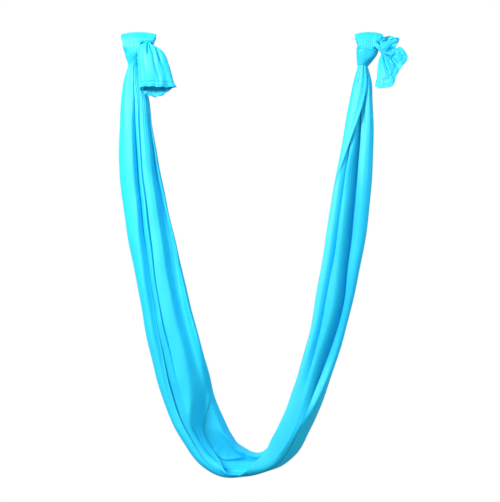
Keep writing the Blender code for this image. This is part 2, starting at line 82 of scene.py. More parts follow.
# Tables along the cloth, against the share of the way from the left neck to the right neck.
# Beyond its rows a table keeps its end value.
ROWS = {
    # Depth front to back, how open the trough is, the wall, and its root and lips as places across
    "depth": [(0, 0.042), (0.045, 0.088), (0.22, 0.124), (0.38, 0.17), (0.5, 0.236), (0.62, 0.17),
              (0.8, 0.124), (0.955, 0.088), (1, 0.042)],
    "open": [(0, 0), (0.03, 0.03), (0.1, 0.3), (0.2, 0.6), (0.36, 0.9), (0.46, 1), (0.56, 1),
             (0.68, 0.8), (0.85, 0.45), (0.96, 0.05), (1, 0)],
    "wall": [(0, 0.01), (0.06, 0.016), (0.38, 0.016), (0.47, 0.011), (0.55, 0.011), (0.64, 0.016),
             (0.94, 0.016), (1, 0.01)],
    "root": [(0, 0.9), (0.05, 0.74), (0.12, 0.5), (0.22, 0.3), (0.36, 0.15), (0.46, 0.1), (0.56, 0.13),
             (0.68, 0.2), (0.85, 0.42), (0.94, 0.72), (1, 0.9)],
    "front_lip": [(0.36, 0.985), (0.39, 0.97), (0.411, 0.8), (0.424, 0.56), (0.432, 0.45),
                  (0.449, 0.42), (0.4575, 0.41), (0.47, 0.37), (0.477, 0.2), (0.484, 0.1), (0.492, 0.1),
                  (0.4965, 0.26), (0.5005, 0.52), (0.5055, 0.76), (0.512, 0.97)],
    "back_lip": [(0.38, 0.985), (0.42, 0.96), (0.45, 0.91), (0.475, 0.88), (0.497, 0.82), (0.512, 0.75),
                 (0.53, 0.75), (0.55, 0.84), (0.57, 0.9), (0.9, 0.88), (1, 0.97)],
    # The free edge of the outermost layer, and the fold beside it, on the front
    "outer": [(0, 0.48), (0.117, 0.465), (0.187, 0.365), (0.269, 0.28), (0.34, 0.235), (0.388, 0.21),
              (0.44, 0.18), (0.49, 0.17), (0.505, 0.1), (0.52, 0.22), (0.55, 0.36), (0.612, 0.37),
              (0.65, 0.31), (0.696, 0.23), (0.731, 0.22), (0.772, 0.32), (0.865, 0.4), (1, 0.48)],
    "inner": [(0, 0.72), (0.117, 0.63), (0.187, 0.545), (0.269, 0.425), (0.388, 0.41), (0.45, 0.3),
              (0.5, 0.36), (0.53, 0.62), (0.612, 0.66), (0.7, 0.68), (0.772, 0.68), (0.885, 0.72)],
    # The free edge that crosses the top of the right leg
    "flap": [(0.845, 1), (0.857, 0.95), (0.885, 0.86), (0.918, 0.72), (0.945, 0.5), (0.9635, 0.34),
             (0.98, 0.24), (1, 0.2)],
    # How sharp the two folds on the front are, and how wide the valley beside the outer one is, on
    # the right and low on the left
    "inner_fold": [(0, 0.3), (0.03, 0.4), (0.08, 1), (0.39, 1), (0.415, 0), (0.615, 0), (0.66, 1),
                   (0.93, 1), (0.97, 0.2)],
    "outer_fold": [(0, 0.15), (0.03, 0.25), (0.09, 0.9), (0.12, 1), (0.46, 1), (0.5, 0), (0.59, 0),
                   (0.635, 1)],
    "valley": [(0.6, 0), (0.66, 0.9), (0.86, 1), (0.94, 0.3), (1, 0)],
    "low": [(0.31, 0), (0.38, 1), (0.45, 1), (0.48, 0)],
    # The panel beyond the inner fold: the place where it starts to sink and over what width, how
    # much of a soft valley lies there, how far it has run down into the open trough instead, and
    # how much deeper the inside lies behind it
    "crest": [(0, 0.9), (0.1, 0.84), (0.2, 0.72), (0.285, 0.645), (0.36, 0.62), (0.397, 0.52),
              (0.415, 0.3), (0.43, 0.13), (0.471, 0.08)],
    "slope": [(0, 0.42), (0.38, 0.36), (0.415, 0.36), (0.43, 0.4), (0.471, 0.42)],
    "dip": [(0, 0), (0.05, 0.3), (0.12, 1), (0.34, 1), (0.4, 0)],
    "merge": [(0.33, 0), (0.385, 0.82), (0.405, 0.975), (0.435, 0.97), (0.455, 0.89), (0.467, 0.85),
              (0.485, 0)],
    "left": [(0, 0), (0.06, 0.3), (0.12, 1), (0.44, 1), (0.49, 0)],
    # How far the right side of the trough turns back towards the front, and how far its floor
    # stands forward, in metres
    "rim": [(0, 0.3), (0.1, 1), (0.46, 1), (0.52, 0.2), (0.56, 0)],
    "floor": [(0.22, 0), (0.34, 0.048), (0.39, 0.076), (0.43, 0.082), (0.46, 0.076), (0.49, 0.066),
              (0.53, 0.03), (0.58, 0)],
    # How far the underside shows below a crease in the front, and where that crease is
    "belly": [(0.5, 0), (0.53, 0.85), (0.63, 0.85), (0.68, 0)],
    "belly_place": [(0.5, 0.2), (0.511, 0.22), (0.5325, 0.41), (0.5535, 0.45), (0.5745, 0.38),
                    (0.593, 0.25), (0.624, 0.14), (0.65, 0.08)],
    # Where the layer beyond the inner fold sinks towards it, instead of lapping over it
    "sunk": [(0.56, 0), (0.62, 1), (0.9, 1), (0.94, 0)],
    # How square the front is at its outer edge
    "square": [(0.38, 0), (0.43, 0.6), (0.49, 0.6), (0.53, 0.2), (0.59, 0.5), (0.63, 1), (0.94, 1),
               (0.98, 0.3), (1, 0)],
}
# Single creases: the layer they are in (0 the outermost at the front, 2 the inside of the back),
# their way as share and place across, height of the step, and how far it falls off
CREASES = [
    (2, [(0.426, 0.36), (0.443, 0.349), (0.463, 0.316)], 0.012, 0.03),
    (2, [(0.457, 0.352), (0.477, 0.34)], 0.01, 0.02),
    (2, [(0.451, 0.81), (0.478, 0.73), (0.4915, 0.59)], 0.012, 0.034),
    (2, [(0.4905, 0.79), (0.513, 0.53)], 0.009, 0.02),
    (2, [(0.4725, 0.33), (0.4965, 0.55)], 0.012, 0.026),
    (2, [(0.4575, 0.15), (0.4885, 0.18)], 0.012, 0.02),
    (0, [(0.018, 0.03), (0.036, 0.055), (0.056, 0.1)], 0.003, 0.01),
    (0, [(-0.004, 0.12), (0.02, 0.21), (0.046, 0.31)], 0.003, 0.012),
    (0, [(0.026, 0.445), (0.056, 0.42)], 0.003, 0.008),
]
# Shallow folds of the back and the swells between them, as places across
BACK_CREASES = (0.4, 0.68)
BACK_SWELLS = (0.27, 0.54, 0.8)
# The shares of the way where the seat meets the legs
LEFT_SEAT_END = 0.394
RIGHT_SEAT_END = 0.606
# How softly the tables run from row to row, as shares of the way
SOFTNESS = 0.01
LIP_SOFTNESS = 0.004


def softened(rows, spread):
    """A table as a smooth function of the share of the way."""
    fine = np.linspace(-0.2, 1.2, 2801)
    values = np.interp(fine, [row[0] for row in rows], [row[1] for row in rows])
    step = fine[1] - fine[0]
    reach = int(4 * spread / step)
    bell = np.exp(-0.5 * (np.arange(-reach, reach + 1) * step / spread) ** 2)
    soft = np.convolve(np.pad(values, reach, mode="edge"), bell / bell.sum(), mode="valid")
    return lambda share: np.interp(share, fine, soft)


def smooth_step(x):
    """0 below 0, 1 above 1, and a soft rise between."""
    x = np.clip(x, 0, 1)
    return x * x * (3 - 2 * x)


def smooth_value(knots, values, at):
    """A smooth curve through values at their knots, and its slope."""
    slopes = np.gradient(values, knots, axis=0)
    k = np.clip(np.searchsorted(knots, at) - 1, 0, len(knots) - 2)
    span = knots[k + 1] - knots[k]
    s = (at - knots[k]) / span
    a, b = values[k], values[k + 1]
    m, n = slopes[k] * span, slopes[k + 1] * span
    place = (a * (2 * s**3 - 3 * s**2 + 1) + m * (s**3 - 2 * s**2 + s)
             + b * (3 * s**2 - 2 * s**3) + n * (s**3 - s**2))
    slope = (a * (6 * s**2 - 6 * s) + m * (3 * s**2 - 4 * s + 1)
             + b * (6 * s - 6 * s**2) + n * (3 * s**2 - 2 * s)) / span
    return place, slope


def route_arrays():
    """The middle line of the cloth, its widths, each row's share of the way, and its length."""
    left = EYES["left"].x + NECK_SHIFT["left"]
    right = EYES["right"].x + NECK_SHIFT["right"]
    rows = np.array(ROUTE) / 1000
    across = left + rows[:, 0] * (right - left)
    height = ROUTE_TOP - rows[:, 1] * (SEAT_DROP + ROUTE_TOP)
    steps = np.hypot(np.diff(across), np.diff(height))
    shares = np.concatenate(([0.0], np.cumsum(steps))) / steps.sum()
    return shares, across, height, rows[:, 2], steps.sum()


SHARES, ACROSS, HEIGHT, WIDTHS, ROUTE_LENGTH = route_arrays()
TABLES = {name: softened(rows, LIP_SOFTNESS if name == "front_lip" else SOFTNESS)
          for name, rows in ROWS.items()}


def angle_of(place):
    """The angle round the outer skin at a place across, from the outer edge."""
    return np.arccos(np.clip(1 - 2 * place, -1, 1))


def eased(rows):
    """Rows of places, each smoothed twice across."""
    for _ in range(2):
        rows[:, 1:-1] = (rows[:, :-2] + 2 * rows[:, 1:-1] + rows[:, 2:]) / 4
    return rows


# Sizes inside the cloth: the depth and wall from which a section has its full folds, how deep the
# flap and the second layer lie, the place of the outer edge's turn, and the depth beside the fold
FULL_DEPTH = 0.1
FULL_WALL = 0.016
LAP = 0.0025
SECOND_LAP = 0.0022
TURN_PLACE = 0.002
FOLD_DEPTH = 0.018
# Points across each run of a section, and its hidden layers, without and with the flap
RIM_POINTS = {False: 34, True: 24}
EDGE_POINTS = 30
BACK_POINTS = 44
FLAP_POINTS = (20, 16)
FOLD_POINTS = 7
UNDER_POINTS = 28
TURN_POINTS = 12
HIDDEN_LAYERS = {False: 3, True: 4}
HIDDEN_POINTS = 30


class Section:
    """The cloth cut across at many shares of the way at once, one row for each."""

    def __init__(self, shares, with_flap, columns):
        self.share = shares[:, None]
        self.inside = np.clip(self.share, 0, 1)
        for name, table in TABLES.items():
            setattr(self, name, table(self.inside))
        self.beyond = np.abs(self.share - self.inside) * ROUTE_LENGTH
        shrink = 1 - np.clip(self.beyond / STEM, 0, 1) * 0.25
        self.width = smooth_value(SHARES, WIDTHS, self.inside)[0] * shrink
        self.depth = self.depth * shrink
        self.fit = np.minimum(1, self.depth / FULL_DEPTH) * self.wall / FULL_WALL
        self.with_flap = with_flap
        self.columns = columns

    def outer_skin(self, angle, side):
        """Place, height and outward direction on the outer skin, by its angle from the edge."""
        def height_at(a):
            place = (1 - np.cos(a)) / 2
            rise = np.sin(a)
            if side > 0:
                boxy = np.where(place < 0.5, self.square, 0)
                rise = np.maximum(rise, 0) ** (1 - 0.68 * boxy)
                slant = place / self.belly_place
                slant = (1 + slant - np.sqrt((1 - slant) ** 2 + 0.02)) / 2
                rise = rise + (slant - rise) * np.where(place < 0.5, self.belly, 0)
            trough = np.where(place < 0.5, rise, 1) * (1 - 0.12 * place**2)
            if side < 0:
                trough = trough - 0.55 * self.rim * smooth_step((place - 0.74) / 0.3)
            return self.depth / 2 * ((1 - self.open) * rise + self.open * trough)
        step = 1e-4
        x = self.width * (1 - np.cos(angle)) / 2
        y = height_at(angle)
        dx = self.width * np.sin(angle) / 2
        dy = (height_at(angle + step) - height_at(angle - step)) / (2 * step)
        size = np.hypot(dx, dy) + 1e-12
        return x, y, -dy / size, dx / size

    def layer(self, places, inset, side, down=0):
        """Points of a layer inside the outer skin, on the front (side 1) or the back (side -1)."""
        x, y, nx, ny = self.outer_skin(angle_of(places), side)
        return x - inset * nx, side * (y - inset * ny - down)

    def let_down(self, place, y, gap):
        """Points of the front sunk into the open trough, to a gap from the inside of the back."""
        back = -self.hollow_at(place, self.back_lip, -1, 1)
        sinking = self.merge * smooth_step((place - self.crest) / self.slope) ** 1.1
        return y + (np.minimum(back + gap, y) - y) * sinking

    def hollow_at(self, place, lip, side, t):
        """How far the inside of the trough lies from its middle plane."""
        skin = side * self.layer(place, 0, side)[1]
        deeper = (0.012 + 0.022 * self.left) * np.clip(self.fit * 2 - 1, 0, 1) if side > 0 else 0
        room = self.open * np.maximum(skin - self.wall - deeper, 0)
        if side < 0:
            room = np.maximum(room - self.floor, 0)
        swell = np.clip((place - self.root) / (0.35 * (1 - self.root)), 0, 1)
        hollow = np.maximum(0.0014 * t, room * np.sqrt(1 - (1 - swell) ** 2))
        flare = smooth_step((place - lip + 0.1) / 0.1) * smooth_step(self.open * 4)
        rim = np.maximum(skin - 0.003, 0.0014)
        return hollow + (rim - hollow) * flare

    def lining(self, lip, count, side):
        """The inside of the trough from its root to a lip."""
        t = np.linspace(0, 1, count)[None, :] ** (1.6 if side < 0 else 1.2)
        place = self.root + (lip - self.root) * t
        y = side * self.hollow_at(place, lip, side, t)
        if side > 0:
            y = self.let_down(place, y, 0.002)
        return place * self.width, y

    def sunk_layer(self, place, inset, down):
        """Points of the second layer, which has a soft valley beyond its fold on the left."""
        dip = smooth_step((place - self.crest) / (0.1 + 0.12 * smooth_step(self.share * 5 - 1)))
        dip = dip * (1 - smooth_step((place - self.crest - 0.21) / 0.11))
        x, y = self.layer(place, inset, 1, down + 0.034 * self.dip * dip)
        return x, self.let_down(place, y, 0.003)

    def ramp(self, start, end, count):
        """Places from one to another, across each row."""
        return start + (end - start) * np.linspace(0, 1, count)[None, :]

    def by_angle(self, start, end, count):
        """Places spaced by their angle round the outer skin."""
        return (1 - np.cos(self.ramp(angle_of(start), angle_of(end), count))) / 2

    def points(self):
        """The whole cloth once across, from the free front edge to the edge hidden inside."""
        fit, width, flap = self.fit, self.width, self.with_flap
        lip_b, lip_f = self.back_lip, self.front_lip
        inner = np.minimum(self.inner, lip_f - 0.05)
        outer = np.minimum(self.outer, inner - 0.03)
        dive = (0.032 + 0.002 * self.valley) * fit
        sharp_in, sharp_out = self.inner_fold, self.outer_fold
        turn = TURN_PLACE + 0 * outer
        runs = []
        # outermost layer: free edge, front, outer edge, back
        p = self.by_angle(self.outer, 0 * outer, EDGE_POINTS)
        soft = 0.004 + 0.011 * smooth_step((self.share - 0.12) / 0.18)
        near_edge = np.exp(-((self.outer - p) * width / soft) ** 2)
        bulge = np.exp(-((self.outer - p - 0.03 / width) * width / 0.014) ** 2)
        curl = (0.03 - 0.0295 * self.valley - 0.01 * self.low) * near_edge * sharp_out * fit
        runs.append(self.layer(p, -LAP * bulge * sharp_out * fit, 1, curl))
        p = self.by_angle(turn, lip_b, BACK_POINTS)
        groove = sum(np.exp(-((p - c) / 0.035) ** 2) for c in BACK_CREASES)
        crown = sum(np.exp(-((p - c) / 0.09) ** 2) for c in BACK_SWELLS)
        runs.append(self.layer(p, (0.006 * groove - 0.002 * crown) * fit, -1))
        # lining: back rim, root, front rim
        x, y = self.lining(lip_b, self.columns, -1)
        runs.append((x[:, ::-1], y[:, ::-1]))
        x, y = self.lining(lip_f, RIM_POINTS[flap], 1)
        runs.append((x[:, 1:], y[:, 1:]))
        # flap that crosses the top of the right leg
        if flap:
            tip = np.minimum(self.flap, lip_f - 0.003)
            proud = smooth_step((lip_f - tip) / 0.2) * fit
            over, under = FLAP_POINTS
            runs.append(self.layer(self.ramp(lip_f, tip, over), LAP * fit - 0.0083 * proud, 1))
            runs.append(self.layer(self.ramp(tip, lip_f, under), LAP * fit - 0.0059 * proud, 1))
        # second layer: front rim, fold, free edge of the outermost layer, outer edge
        lapped = sharp_in * (1 - self.sunk)
        overlap = (0.001 + 0.013 * lapped) * np.minimum(1, 25 * (lip_f - inner) * width) / width
        tip = inner - 0.004 * lapped / width
        p = self.ramp(lip_f, tip, RIM_POINTS[flap])
        s = np.linspace(0, 1, RIM_POINTS[flap])[None, :]
        swell = LAP - 0.006 * lapped * np.sin(math.pi * s**1.9)
        from_fold = (p - inner) * width
        sink = FOLD_DEPTH * sharp_in * self.sunk * np.clip(1 - from_fold / 0.026, 0, 1) ** 1.6
        runs.append(self.sunk_layer(p, swell * fit, sink * fit))
        p = self.ramp(tip, inner + overlap, FOLD_POINTS)
        down = np.linspace(0, 1, FOLD_POINTS)[None, :]
        sink = (0.0008 + 0.02 * down) * lapped + FOLD_DEPTH * sharp_in * self.sunk * (1 - down)
        runs.append(self.sunk_layer(p, SECOND_LAP * fit, sink * fit))
        p = self.ramp(inner + overlap, outer, UNDER_POINTS)
        under = smooth_step(((p - inner) * width + 0.017) / 0.019) * lapped
        reach = 0.024 + 0.022 * self.valley + 0.046 * self.low
        into = np.clip(1 - (p - outer) * width / reach, 0, 1) ** (1.3 + 0.2 * self.valley)
        into = into + (0.5 + 0.5 * smooth_step(1.15 * into) - into) * self.low
        deepest = 0.0012 * fit * (1 - sharp_out) + dive * sharp_out
        depth = 0.0208 * under * fit
        runs.append(self.sunk_layer(p, SECOND_LAP * fit, depth + (deepest - depth) * into))
        p = self.by_angle(outer, turn, TURN_POINTS)
        sunk = smooth_step(np.linspace(0, 1, TURN_POINTS))
        runs.append(self.layer(p, (SECOND_LAP + 0.0043 * sunk) * fit, 1, deepest * (1 - sunk)))
        # hidden layers along the back, to and fro
        ends = (turn, lip_b - 0.17)
        zigzag = 0.0016 * np.cos(math.pi * np.arange(HIDDEN_POINTS) / 3)[None, :]
        for number in range(HIDDEN_LAYERS[flap]):
            inset = 0.0118 - 0.0076 * (1 - number / (HIDDEN_LAYERS[flap] - 1))
            p = self.by_angle(ends[number % 2], ends[1 - number % 2], HIDDEN_POINTS)
            runs.append(self.layer(p, (inset + zigzag) * fit, -1))
        x, y = (np.concatenate(parts, axis=1) for parts in zip(*runs))
        starts = np.cumsum([0] + [run[0].shape[1] for run in runs])
        for layer, way, step, fall in CREASES:
            some = slice(starts[layer], starts[layer + 1])
            y[:, some] += self.fold_step(x[:, some] / width, way, step, fall)
        return eased(x), eased(y)

    def fold_step(self, place, way, step, fall):
        """A single crease: the cloth on one side of its way stands up and falls off from it."""
        here = np.stack([self.share * ROUTE_LENGTH + 0 * place, place * self.width], axis=2)
        best = np.full(place.shape, np.inf)
        side = np.zeros(place.shape)
        along = np.zeros(place.shape)
        count = len(way) - 1
        for number in range(count):
            a, b = (np.stack([share * ROUTE_LENGTH + 0 * self.width, at * self.width], axis=2)
                    for share, at in way[number:number + 2])
            run = b - a
            from_a = here - a
            near = np.clip(np.sum(from_a * run, axis=2) / np.linalg.norm(run, axis=2) ** 2, 0, 1)
            distance = np.linalg.norm(from_a - run * near[:, :, None], axis=2)
            closer = distance < best
            best = np.where(closer, distance, best)
            cross = run[:, :, 0] * from_a[:, :, 1] - run[:, :, 1] * from_a[:, :, 0]
            side = np.where(closer, np.sign(cross), side)
            along = np.where(closer, (number + near) / count, along)
        ends = np.sin(along * math.pi) ** 0.6
        signed = best * side
        rise = smooth_step(signed / 0.005) * np.exp(-np.clip(signed, 0, None) / fall)
        return step * rise * ends

    def in_space(self):
        """The cloth's grid of points in space."""
        x, y = self.points()
        mid_x, run = smooth_value(SHARES, ACROSS, self.inside)
        mid_z, drop = smooth_value(SHARES, HEIGHT, self.inside)
        mid_z = mid_z + self.beyond
        size = np.hypot(run, drop)
        inward_x, inward_z = -drop / size, run / size
        forward = HANG_FORWARD * np.clip(np.minimum(self.inside, 1 - self.inside) / 0.05, 0, 1)
        place = x - self.width / 2
        return np.stack([mid_x + inward_x * place, -forward - y, mid_z + inward_z * place], axis=2)


def grid_normals(grid):
    """Outward directions at each point of a grid, from the faces round it."""
    diagonal_a = grid[1:, 1:] - grid[:-1, :-1]
    diagonal_b = grid[1:, :-1] - grid[:-1, 1:]
    face = np.cross(diagonal_a, diagonal_b)
    total = np.zeros_like(grid)
    for rows in (slice(0, -1), slice(1, None)):
        for columns in (slice(0, -1), slice(1, None)):
            total[rows, columns] += face
    return total / (np.linalg.norm(total, axis=2, keepdims=True) + 1e-15)


def put(name, data):
    """A new object in the scene."""
    made = bpy.data.objects.new(name, data)
    bpy.context.scene.collection.objects.link(made)
    return made


def lengths(grid, axis):
    """How far along the cloth each row (axis 0) or column (axis 1) of a grid lies."""
    steps = np.linalg.norm(np.diff(grid, axis=axis), axis=2).mean(axis=1 - axis)
    return np.concatenate(([0.0], np.cumsum(steps)))


def cloth_mesh(name, grid, normals, u, v, thickness=CLOTH_THICKNESS):
    """A closed thin sheet over a grid of points, with its own place in the cloth as UV."""
    rows, columns = grid.shape[:2]
    count = rows * columns
    places = np.concatenate([(grid + normals * thickness / 2).reshape(-1, 3),
                             (grid - normals * thickness / 2).reshape(-1, 3)])
    index = np.arange(count).reshape(rows, columns)
    quads = np.stack([index[:-1, :-1], index[1:, :-1], index[1:, 1:], index[:-1, 1:]], axis=2)
    outside = quads.reshape(-1, 4)
    edge = np.concatenate([index[0, :-1], index[:-1, -1], index[-1, :0:-1], index[:0:-1, 0]])
    after = np.roll(edge, -1)
    rim = np.stack([edge, after, after + count, edge + count], axis=1)
    faces = np.concatenate([outside[:, ::-1], outside + count, rim])
    data = bpy.data.meshes.new(name)
    data.vertices.add(len(places))
    data.vertices.foreach_set("co", places.astype(np.float32).ravel())
    data.loops.add(faces.size)
    data.loops.foreach_set("vertex_index", faces.astype(np.int32).ravel())
    data.polygons.add(len(faces))
    data.polygons.foreach_set("loop_start", np.arange(0, faces.size, 4, dtype=np.int32))
    layer = data.uv_layers.new(name="cloth")
    flat = np.stack(np.broadcast_arrays(u, v), axis=2).reshape(-1, 2)
    layer.data.foreach_set("uv", np.concatenate([flat, flat])[faces.ravel()].astype(np.float32).ravel())
    data.update()
    data.validate()
    data.shade_smooth()
    directions = np.concatenate([normals.reshape(-1, 3), -normals.reshape(-1, 3)])
    data.normals_split_custom_set_from_vertices(directions.tolist())
    return put(name, data)


def sling_rows(start, end, step, crowd):
    """Shares of the way from one end of a piece to the other, by the mean step in metres."""
    count = max(2, int(abs(end - start) * ROUTE_LENGTH / step))
    return start + (end - start) * np.linspace(0, 1, count) ** crowd


def along_waves(grid, shares):
    """Fine pleats that fan out from the necks and fade on the way down."""
    columns = np.arange(grid.shape[1])[None, :]
    nearness = np.minimum(shares, 1 - shares)[:, None]
    strength = 0.0011 * np.exp(-np.clip(nearness, 0, None) / 0.045) + 0.00035 * np.exp(-nearness / 0.16)
    wave = np.sin(columns * math.tau / 6.3 + 1.4 * np.sin(columns * 0.11 + 0.6))
    wave = wave + 0.5 * np.sin(columns * math.tau / 14.7 + 2.1)
    return grid + grid_normals(grid) * (strength * wave)[:, :, None]


def drift(grid, shares):
    """The slow unevenness of real cloth: everything at a place moves together."""
    x, y, z = grid[:, :, 0], grid[:, :, 1], grid[:, :, 2]
    nearness = np.minimum(shares, 1 - shares)[:, None]
    amount = 0.0015 * smooth_step((nearness - 0.02) / 0.1)
    moved = grid.copy()
    moved[:, :, 0] += amount * (np.sin(13 * z + 21 * y + 0.4) + 0.5 * np.sin(29 * z - 17 * x + 1.9))
    moved[:, :, 1] += amount * (np.sin(17 * x + 11 * z + 2.2) + 0.6 * np.sin(31 * x - 23 * z + 0.8))
    moved[:, :, 2] += amount * 0.6 * np.sin(15 * x + 19 * y + 1.1)
    return moved


def make_sling_piece(name, shares, with_flap, columns):
    """One stretch of the hanging cloth."""
    grid = Section(shares, with_flap, columns).in_space()
    grid = drift(along_waves(grid, shares), shares)
    u = lengths(grid, 1)
    u = (u / u[-1] * CLOTH_WIDTH)[None, :]
    return cloth_mesh(name, grid, grid_normals(grid), u, (shares * ROUTE_LENGTH)[:, None])


# The knot under each eye: height, left edge, right edge and half the front-to-back size, all in
# millimetres from the middle of that end's eye; and the heights that the rows are read between
KNOT_ROWS = {
    "left": [
        (-100, -42, 0, 20.5), (-92, -42, 0, 21), (-84, -43, 2, 22.5), (-74, -46, 10, 27),
        (-60, -52, 30, 35), (-46, -56, 46, 42), (-28, -60, 57, 46), (0, -65, 64, 45), (30, -71, 70, 42),
    ],
    "right": [
        (-100, -44, -6, 20.5), (-92, -44, -6, 21), (-84, -44, 0, 26), (-74, -44.5, 9, 31.5),
        (-60, -45, 21, 38), (-46, -45.5, 30, 42), (-28, -46.5, 39, 46), (0, -48.5, 48, 45),
        (30, -57, 57, 42),
    ],
}
KNOT_LOWEST, KNOT_HIGHEST = -0.0999, 0.0299
# The gather of each eye: its top and its lower end, its folded layers and their spacing, its half
# size in side view, its rows up the front and over the top, and its columns
BIGHT_TOP = 0.0465
NECK_END = -0.094
GATHER_LAYERS = 4
GATHER_SPACING = 0.0052
GATHER_RADIUS = 0.044
ROWS_UP, ROWS_OVER = 30, 34
GATHER_COLUMNS = 58
# Where the outermost layer of the gather ends above the tail, as a share of its width
TAIL_COVER = {"left": (-0.02, 0.16), "right": (0.3, 0.5)}

# The turns round each neck: heights of the upper edge at the left and right, and of the lower;
# the lines between turns, as shares of the way down; and how far they stand proud
WRAPS = {
    "left": {"top": (-0.068, -0.072), "bottom": (-0.093, -0.094), "lines": (), "proud": 0.0016},
    "right": {"top": (-0.0165, -0.036), "bottom": (-0.09, -0.0945), "lines": (0.1,), "proud": 0.0032},
}
WRAP_COLUMNS = 150
WRAP_ROWS = 44


def knot_rows(side, heights):
    """Left edge, right edge and half depth of a knot at some heights."""
    rows = np.array(KNOT_ROWS[side]) / 1000
    heights = np.clip(heights, KNOT_LOWEST, KNOT_HIGHEST)
    return [smooth_value(rows[:, 0], rows[:, k], heights)[0] for k in (1, 2, 3)]


def gather_path(side, bottom):
    """The way of the cloth from the front of the neck over the anchor and down its back."""
    rise = np.linspace(0, 1, ROWS_UP)[:, None]
    turn = np.linspace(0, math.pi, ROWS_OVER)[1:-1, None]
    half = knot_rows(side, np.array([[0.0]]))[2]
    front_z = bottom * (1 - rise)
    front_y = -knot_rows(side, front_z)[2]
    top_z = BIGHT_TOP * np.sin(turn) + 0 * bottom
    top_y = -half * np.cos(turn) + 0 * bottom
    back_z = NECK_END * rise + 0 * bottom
    back_y = knot_rows(side, back_z)[2]
    return np.concatenate([front_y, top_y, back_y]), np.concatenate([front_z, top_z, back_z])


def make_gather(side):
    """The gathered cloth of an eye: folded layers that go up the front, over, and down the back."""
    grids = []
    for layer in range(GATHER_LAYERS):
        way = -1 if layer % 2 else 1
        t = np.linspace(-1, 1, GATHER_COLUMNS)[None, ::way]
        inset = GATHER_SPACING * layer
        bottom = NECK_END + 0 * t
        cover = 0 * t
        if layer == 0:
            start, stop = TAIL_COVER[side]
            cover = smooth_step((t - start) / (stop - start))
            bottom = bottom * (1 - cover) - 0.004 * cover
        y, z = gather_path(side, bottom)
        left, right, _ = knot_rows(side, z)
        narrower = 1 - 0.13 * smooth_step(y / 0.03)
        x = (left + right) / 2 + (right - left) / 2 * t * narrower
        closed = smooth_step((-z - 0.016) / 0.03)
        rounding = (1 - np.abs(t) ** 3.2 * 0.96) ** (1 / 2.4)
        squeeze = inset * (1 - 0.55 * smooth_step(-z / 0.09))
        up = np.clip(z / BIGHT_TOP, 0, 1)
        shoulder = 0.0085 * np.abs(t) ** 2.4
        scale = 1 - (squeeze + shoulder * (0.35 + 0.65 * up)) / GATHER_RADIUS
        y = y * scale * (1 - closed + closed * rounding)
        z = np.where(z > 0, z * (1 - (inset + shoulder) / GATHER_RADIUS), z)
        in_front = np.arange(len(y))[:, None] < ROWS_UP + ROWS_OVER / 2
        y = y - cover * np.exp(-((z - 0.008) / 0.014) ** 2) * in_front * 0.014
        grid = np.stack(np.broadcast_arrays(x, y, z), axis=2)
        normals = grid_normals(grid) * way
        wave = np.sin(math.tau * (4.6 * t + 0.17 * layer) + 1.1 * np.sin(5 * t + layer))
        wave = wave + 0.45 * np.sin(math.tau * 9.7 * t + 1.3 * layer + 3 * z / 0.05)
        edge = 1 - np.abs(t) ** 6
        amount = (0.0005 + 0.0008 * smooth_step(-z / 0.07)) * edge
        grids.append(grid + normals * (amount * wave)[:, :, None])
    return eased(np.concatenate(grids, axis=1)) + np.array(EYES[side])


def make_wrap(side):
    """The turns of cloth round the neck, a little proud of what they hold."""
    wrap = WRAPS[side]
    around = np.linspace(-0.25, 1.3, WRAP_COLUMNS)[None, :] * math.tau
    down = np.linspace(0, 1, WRAP_ROWS)[:, None]
    c, s = np.cos(around - math.pi / 2), np.sin(around - math.pi / 2)
    share = (c + 1) / 2
    top = wrap["top"][0] + (wrap["top"][1] - wrap["top"][0]) * share
    bottom = wrap["bottom"][0] + (wrap["bottom"][1] - wrap["bottom"][0]) * share
    z = top + (bottom - top) * down
    left, right, half = knot_rows(side, z)
    power = 2.0 + 1.4 * smooth_step((z + 0.085) / 0.05)
    reach = (np.abs(c) ** power + np.abs(s) ** power) ** (-1 / power)
    tuck = np.sin(down * math.pi) ** 0.35
    turns = (around / (math.tau) + 0.25) / 1.55
    ridge = -sum(np.exp(-((down - line - 0.04 * share) / 0.03) ** 2) for line in wrap["lines"])
    proud = wrap["proud"] * (0.25 + 0.75 * tuck) + 0.0026 * ridge - 0.0012 * turns
    x = (left + right) / 2 + reach * c * ((right - left) / 2 + proud)
    y = reach * s * (half + proud)
    wobble = 0.0012 * np.sin(3 * around + 7 * down)
    grid = np.stack(np.broadcast_arrays(x, y, z + wobble), axis=2)
    return grid + np.array(EYES[side])


KNOT_FRONT = 0.048
